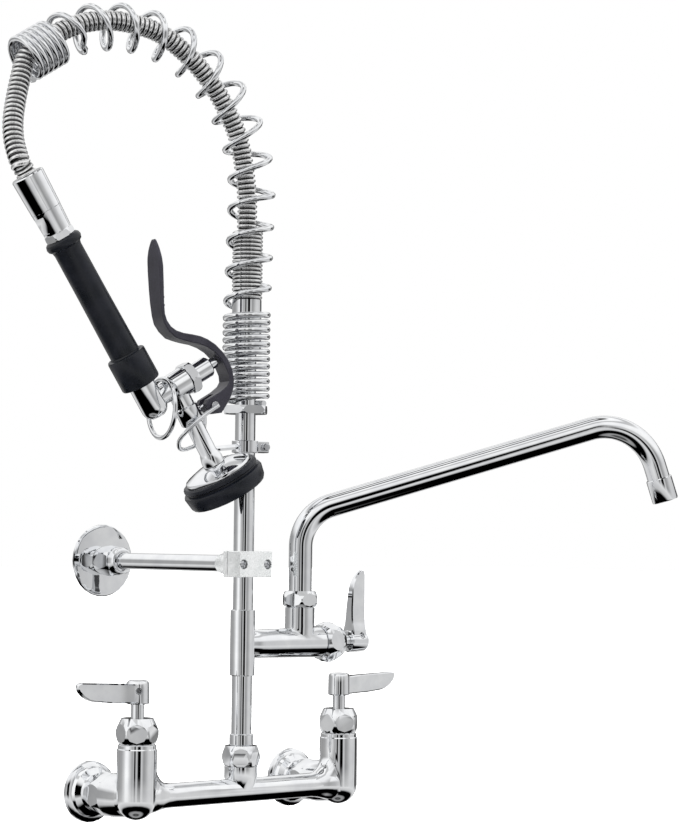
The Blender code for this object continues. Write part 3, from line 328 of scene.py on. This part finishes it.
def fillet_path(corners, radii, count):
    """The corners of a bent tube with each inner corner rounded to its bend radius."""
    points = [Vector(corners[0])]
    for before, corner, after, radius in zip(corners, corners[1:], corners[2:], radii):
        corner = Vector(corner)
        into = (corner - Vector(before)).normalized()
        out = (Vector(after) - corner).normalized()
        turn = into.angle(out)
        start = corner - into * radius * math.tan(turn / 2)
        side = (out - into * into.dot(out)).normalized()
        centre = start + side * radius
        for i in range(count + 1):
            angle = turn * i / count
            points.append(centre - side * radius * math.cos(angle) + into * radius * math.sin(angle))
    points.append(Vector(corners[-1]))
    return points


def resample(points, step):
    """Evenly spaced points along a line, step apart."""
    lengths = [(b - a).length for a, b in zip(points, points[1:])]
    total = sum(lengths)
    count = max(2, round(total / step))
    result = []
    index, passed = 0, 0.0
    for i in range(count + 1):
        distance = min(total * i / count, total - 1e-9)
        while passed + lengths[index] < distance:
            passed += lengths[index]
            index += 1
        result.append(points[index].lerp(points[index + 1], (distance - passed) / lengths[index]))
    return result


def sweep(name, points, radii, sides, closed=False):
    """A round skin along the points, with a radius for each, capped unless it is closed."""
    bm = bmesh.new()
    count = len(points)
    ahead = [(points[(i + 1) % count] if closed or i + 1 < count else points[i]) for i in range(count)]
    behind = [(points[i - 1] if closed or i else points[i]) for i in range(count)]
    tangent = [(a - b).normalized() for a, b in zip(ahead, behind)]
    side = tangent[0].orthogonal().normalized()
    rings = []
    for point, radius, forward in zip(points, radii, tangent):
        side = (side - forward * side.dot(forward)).normalized()
        other = forward.cross(side)
        rings.append([bm.verts.new(point + (side * math.cos(math.tau * k / sides)
                                            + other * math.sin(math.tau * k / sides)) * radius)
                      for k in range(sides)])
    pairs = list(zip(rings, rings[1:]))
    if closed:  # the frame may have turned on its way round: start the last joint at the nearest corner
        first = rings[-1][0].co
        shift = min(range(sides), key=lambda k: (rings[0][k].co - first).length)
        pairs.append((rings[-1], rings[0][shift:] + rings[0][:shift]))
    for low, high in pairs:
        for k in range(sides):
            bm.faces.new((low[k], low[(k + 1) % sides], high[(k + 1) % sides], high[k]))
    if not closed:
        bm.faces.new(rings[0][::-1])
        bm.faces.new(rings[-1])
    bmesh.ops.recalc_face_normals(bm, faces=bm.faces)
    mesh = bpy.data.meshes.new(name)
    bm.to_mesh(mesh)
    bm.free()
    mesh.shade_smooth()
    mesh.set_sharp_from_angle(angle=SHARP_FROM)
    item = bpy.data.objects.new(name, mesh)
    bpy.context.scene.collection.objects.link(item)
    return item


def mark_crowns(item, crowns, sides):
    """Stores how high each ring of a sweep stands, from 0 in a groove to 1 on a crown; the armour's
    material paints shade into the grooves by it.
    """
    values = item.data.attributes.new("crown", "FLOAT", "POINT").data
    for i, crown in enumerate(crowns):
        for k in range(sides):
            values[i * sides + k].value = crown


def stand_for(item, node, body, slot, place=None):
    """Puts a fine piece in place of a CAD node."""
    if place:
        item.data.transform(place)
    item.data.materials.append(MATERIALS[slot])
    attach(item, body)
    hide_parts(node)
    return item


def arc_point(angle):
    """A point of the arc, by the angle from its foot."""
    return ARC_CENTRE + Vector((ARC_RADII[0] * math.cos(angle), 0, ARC_RADII[1] * math.sin(angle)))


def spring_line():
    """The spring's centre line, upright from its nut and then round the arc."""
    tight_top = SPRING_BASE + TIGHT_TURNS * TIGHT_PITCH
    points = [Vector((0, 0, SPRING_BASE)), Vector((0, 0, tight_top))]
    for i in range(1, STRAIGHT_STEPS):
        share = i / STRAIGHT_STEPS
        height = tight_top + (ARC_CENTRE.z - tight_top) * share
        points.append(Vector((ARC_LEAN * share, 0, height)))
    points += [arc_point(ARC_END * i / ARC_STEPS) for i in range(ARC_STEPS + 1)]
    points.append(MOUTH)
    return smooth_path(points, LINE_STEPS)


def along(points, distance):
    """The point and the direction at a distance along a line."""
    for a, b in zip(points, points[1:]):
        step = (b - a).length
        if distance <= step or b is points[-1]:
            return a + (b - a) * (distance / step), (b - a).normalized()
        distance -= step


def guard_spring():
    """One wire: closed turns on the nut, open turns round the arch, closed turns at the mouth."""
    line = spring_line()
    length = sum((b - a).length for a, b in zip(line, line[1:]))
    tight = TIGHT_TURNS * TIGHT_PITCH
    end = END_TURNS * END_PITCH
    total = TIGHT_TURNS + OPEN_TURNS + END_TURNS
    points = []
    for i in range(round(total * COIL_STEPS) + 1):
        turn = i / COIL_STEPS
        if turn <= TIGHT_TURNS:
            distance = turn * TIGHT_PITCH
        elif turn <= TIGHT_TURNS + OPEN_TURNS:
            share = (turn - TIGHT_TURNS) / OPEN_TURNS
            share -= OPEN_SPREAD * math.sin(math.tau * share)
            distance = tight + (length - tight - end) * share
        else:
            distance = length - end + end * (turn - TIGHT_TURNS - OPEN_TURNS) / END_TURNS
        middle, forward = along(line, distance)
        side = Vector((0, 1, 0))
        out = side.cross(forward).normalized()
        angle = math.tau * turn
        points.append(middle + (out * math.cos(angle) + side * math.sin(angle)) * COIL_R)
    item = sweep("spring_coil", points, [SPRING_WIRE_R] * len(points), COIL_SIDES)
    stand_for(item, "guard_spring", "faucet_frame", "spring_wire", ARC_FRAME)


# The hose's foot: straight up from the ferrule, then easing over
HOSE_FOOT = [Vector((0, 0, HOSE_START)), Vector((0, 0, 415 * MM)), Vector((-1 * MM, 0, 438 * MM))]
# How far the hose runs outside the arc's centre line, by angle: degrees, millimetres
HOSE_OFFSETS = [(0, -4.4), (20, -4.8), (36, -4.4), (50, -2.4), (64, 0.6), (78, 3.8), (96, 4.8), (112, 4.4)]
# The free stretch from the spring's mouth to the swivel, in millimetres
HOSE_FREE = [
    (-183.0, 0, 568.6),
    (-193.8, -1, 557.5),
    (-199.8, -4.5, 541),
    (-205.4, -9.5, 523),
    (-210.2, -16, 506),
    (-212.0, -22.5, 490),
]
HOSE_END_RISES = (11, 4, 0)  # its last points, in millimetres above the swivel along the grip


def hose_route():
    """Up from the ferrule, inside the arc's line and then outside it, down to the swivel."""
    points = list(HOSE_FOOT)
    for degrees, offset in HOSE_OFFSETS:
        point = arc_point(math.radians(degrees))
        points.append(point + (point - ARC_CENTRE).normalized() * offset * MM)
    up = Matrix.Rotation(SPRAY_TILT + GRIP_LEAN, 3, "Y") @ Vector((0, 0, 1))
    foot = Matrix.Rotation(SPRAY_TILT, 3, "Y") @ Vector((GRIP_X, 0, 0))
    top = SPRAY_AT + foot + up * SWIVEL_TOP
    points += [Vector(p) * MM for p in HOSE_FREE]
    points += [top + up * rise * MM for rise in HOSE_END_RISES]
    return smooth_path(points, ROUTE_STEPS)


def armoured_hose():
    """Interlocked armour: close rings, each with a rounded crown and a narrow groove."""
    steps = len(HOSE_CROWN)
    points = resample(hose_route(), HOSE_PITCH / steps)
    crowns = [HOSE_CROWN[i % steps] for i in range(len(points))]
    radii = [HOSE_R - HOSE_GROOVE * (1 - height) for height in crowns]
    item = sweep("hose_rings", points, radii, HOSE_SIDES)
    # the crown heights let the armour's material paint shade into the grooves
    mark_crowns(item, crowns, HOSE_SIDES)
    stand_for(item, "hose", "faucet_frame", "hose_armour", ARC_FRAME)


def ribbed_sleeve():
    """The stiff ribbed collar over the foot of the hose."""
    steps = len(SLEEVE_CROWN)
    length = SLEEVE_TO - SLEEVE_FROM
    count = round(length / SLEEVE_PITCH * steps)
    points = [Vector((0, 0, SLEEVE_FROM + length * i / count)) for i in range(count + 1)]
    crowns = [SLEEVE_CROWN[i % steps] for i in range(count + 1)]
    radii = [SLEEVE_R - SLEEVE_GROOVE * (1 - height) for height in crowns]
    radii[0] = radii[-1] = SLEEVE_END_R
    item = sweep("sleeve_ribs", points, radii, SLEEVE_SIDES)
    # the crown heights let the armour's material paint shade into the grooves between the ribs
    mark_crowns(item, crowns, SLEEVE_SIDES)
    stand_for(item, "hose_sleeve", "faucet_frame", "hose_armour", ARC_FRAME)


def swing_spout():
    """The bent tube from the boss to the outlet collar."""
    points = fillet_path(SPOUT_CORNERS, SPOUT_BENDS, BEND_STEPS)
    item = sweep("spout_pipe", points, [SPOUT_R] * len(points), SPOUT_SIDES)
    place = Matrix.Translation(SPOUT_AT) @ Matrix.Rotation(SPOUT_SWING, 4, "Z")
    stand_for(item, "spout_tube", "swing_spout", "polished_chrome", place)


def hold_ring():
    """The ring hangs straight down from its hinge in the fork of the spray body."""
    down = Matrix.Rotation(-SPRAY_TILT, 3, "Y") @ Vector((0, 0, -1))
    across = Vector((0, 1, 0))
    turns = [math.tau * i / RING_STEPS for i in range(RING_STEPS)]
    loop = [RING_TOP + down * RING_R + across * RING_R * math.sin(t) - down * RING_R * math.cos(t)
            for t in turns]
    ring = sweep("ring_wire", loop, [RING_WIRE_R] * len(loop), WIRE_SIDES, closed=True)
    stand_for(ring, "hold_ring", "lever_hold_ring", "spring_wire", SPRAY_FRAME)


# The bail's wire from one side of the spray's shank round to the other, in millimetres
BAIL_ROUTE = [
    (43.0, -12.4, -30.6),
    (31.0, -12.4, -31.0),
    (19.0, -11.8, -32.6),
    (9.0, -7.5, -36.0),
    (5.0, 0.0, -41.0),
    (8.0, 10.0, -48.6),
    (17.0, 15.5, -53.0),
    (28.0, 16.2, -53.4),
    (38.0, 15.2, -44.0),
    (43.0, 12.4, -31.4),
]


def hang_bail():
    path = smooth_path([Vector(p) * MM for p in BAIL_ROUTE], BAIL_STEPS)
    bail = sweep("bail_wire", path, [BAIL_WIRE_R] * len(path), WIRE_SIDES)
    stand_for(bail, "hang_bail", "hanging_bail", "spring_wire", SPRAY_FRAME)


# Stage, light and surroundings

FLOOR_Z = -0.32
FLOOR_SIZE = 30
FLOOR_CLOUDS = 3  # per metre
SUN_STRENGTH = 4.8
SUN_SPREAD = math.radians(120)
PANEL_STRENGTH = 1.15

def stage_floor():
    """A pale floor well below the faucet, for the light that it throws up."""
    bm = bmesh.new()
    bmesh.ops.create_grid(bm, x_segments=1, y_segments=1, size=FLOOR_SIZE)
    mesh = bpy.data.meshes.new("floor")
    bm.to_mesh(mesh)
    bm.free()
    item = bpy.data.objects.new("floor", mesh)
    item.location = (0, 0, FLOOR_Z)
    bpy.context.scene.collection.objects.link(item)
    material, tree, shader = new_nodes("pale_floor")
    colour = blend_colour(tree, noise(tree, FLOOR_CLOUDS, 2), (0.90, 0.90, 0.90), (0.94, 0.94, 0.94))
    tree.links.new(colour, shader.inputs["Base Color"])
    shader.inputs["Roughness"].default_value = 0.9
    mesh.materials.append(material)
    item.visible_glossy = False


def overhead_light():
    """A very soft sun, which shapes the dark rubber and is not seen in the chrome."""
    data = bpy.data.lights.new("overhead", "SUN")
    data.energy = SUN_STRENGTH
    data.angle = SUN_SPREAD
    item = bpy.data.objects.new("overhead", data)
    item.visible_glossy = False
    bpy.context.scene.collection.objects.link(item)


def ramp_node(tree, value, stops, limit):
    """A level for each angle from -limit to limit degrees, looked up by its share of that range."""
    node = tree.nodes.new("ShaderNodeValToRGB")
    ramp = node.color_ramp
    for i, (degrees, level) in enumerate(stops):
        position = (degrees + limit) / (2 * limit)
        if i < 2:
            element = ramp.elements[i]
            element.position = position
        else:
            element = ramp.elements.new(position)
        element.color = (level, level, level, 1)
    tree.links.new(value, node.inputs["Fac"])
    return node.outputs["Color"]


# Brightness round the object at eye level, by bearing from the camera's side (degrees, + to its right)
BEARINGS = [
    (-180, 0.06), (-164, 0.06), (-156, 0.36), (-118, 0.30), (-92, 0.36), (-74, 0.60), (-60, 0.95),
    (-48, 0.92), (-36, 0.62), (-20, 0.34), (-12, 0.50), (-9, 0), (-3, 0), (0, 0.50), (8, 0.45), (12, 0),
    (27, 0), (30, 0.62), (38, 0.48), (46, 0.28), (60, 0.40), (76, 0.58), (92, 0.62), (110, 0.56),
    (120, 0.72), (126, 0.02), (138, 0.02), (146, 0.30), (156, 0.30), (164, 0.06), (180, 0.06),
]
# Brightness overhead and underfoot, by height above the horizon in degrees
TENT = [
    (0, 0.90), (14, 0.95), (44, 1.0), (50, 0.55), (57, 0.55), (62, 1.0), (71, 1.0), (75, 0.04), (80, 0.04),
    (84, 0.95), (90, 0.60),
]
GROUND = [
    (-90, 0.12), (-81, 0.04), (-74, 0.30), (-66, 0.26), (-60, 0), (-36, 0), (-30, 0.50), (-18, 0.70),
    (0, 0.75),
]
# How much of each shows at a height, from none to all
TENT_SHARE = [(0, 0), (12, 0), (24, 0.85), (90, 1)]
GROUND_SHARE = [(-90, 1), (-18, 1), (-9, 0), (90, 0)]


def surroundings():
    """A studio tent of soft panels and dark gaps for the reflections, and plain white behind."""
    world = bpy.data.worlds.new("studio")
    bpy.context.scene.world = world
    world.use_nodes = True
    tree = world.node_tree
    tree.nodes.clear()

    def maths(operation, *values):
        node = tree.nodes.new("ShaderNodeMath")
        node.operation = operation
        for i, value in enumerate(values):
            if isinstance(value, (int, float)):
                node.inputs[i].default_value = value
            else:
                tree.links.new(value, node.inputs[i])
        return node.outputs[0]

    def dot(direction, vector):
        node = tree.nodes.new("ShaderNodeVectorMath")
        node.operation = "DOT_PRODUCT"
        tree.links.new(direction, node.inputs[0])
        node.inputs[1].default_value = vector
        return node.outputs["Value"]

    def mix(share, first, second):
        node = tree.nodes.new("ShaderNodeMix")
        node.data_type = "RGBA"
        tree.links.new(share, node.inputs["Factor"])
        tree.links.new(first, node.inputs[MIX_FIRST])
        tree.links.new(second, node.inputs[MIX_SECOND])
        return node.outputs[MIX_RESULT]

    direction = tree.nodes.new("ShaderNodeTexCoord").outputs["Generated"]
    bearing = maths("ARCTAN2", dot(direction, RIGHT), dot(direction, -FORWARD))
    turn = maths("ADD", maths("DIVIDE", bearing, math.tau), 0.5)
    height = maths("ARCSINE", dot(direction, (0, 0, 1)))
    rise = maths("ADD", maths("DIVIDE", height, math.pi), 0.5)
    around = ramp_node(tree, turn, BEARINGS, 180)
    tent = ramp_node(tree, rise, TENT, 90)
    ground = ramp_node(tree, rise, GROUND, 90)
    up_share = ramp_node(tree, rise, TENT_SHARE, 90)
    down_share = ramp_node(tree, rise, GROUND_SHARE, 90)
    light = mix(up_share, around, tent)
    light = mix(down_share, light, ground)
    panels = tree.nodes.new("ShaderNodeBackground")
    tree.links.new(light, panels.inputs["Color"])
    panels.inputs["Strength"].default_value = PANEL_STRENGTH
    plain = tree.nodes.new("ShaderNodeBackground")
    plain.inputs["Color"].default_value = (1, 1, 1, 1)
    choose = tree.nodes.new("ShaderNodeMixShader")
    path = tree.nodes.new("ShaderNodeLightPath")
    output = tree.nodes.new("ShaderNodeOutputWorld")
    tree.links.new(path.outputs["Is Camera Ray"], choose.inputs[0])
    tree.links.new(panels.outputs[0], choose.inputs[1])
    tree.links.new(plain.outputs[0], choose.inputs[2])
    tree.links.new(choose.outputs[0], output.inputs["Surface"])


camera()
finish_cad_nodes()
guard_spring()
armoured_hose()
ribbed_sleeve()
swing_spout()
hold_ring()
hang_bail()
stage_floor()
overhead_light()
surroundings()
bpy.context.scene.view_settings.view_transform = "Standard"
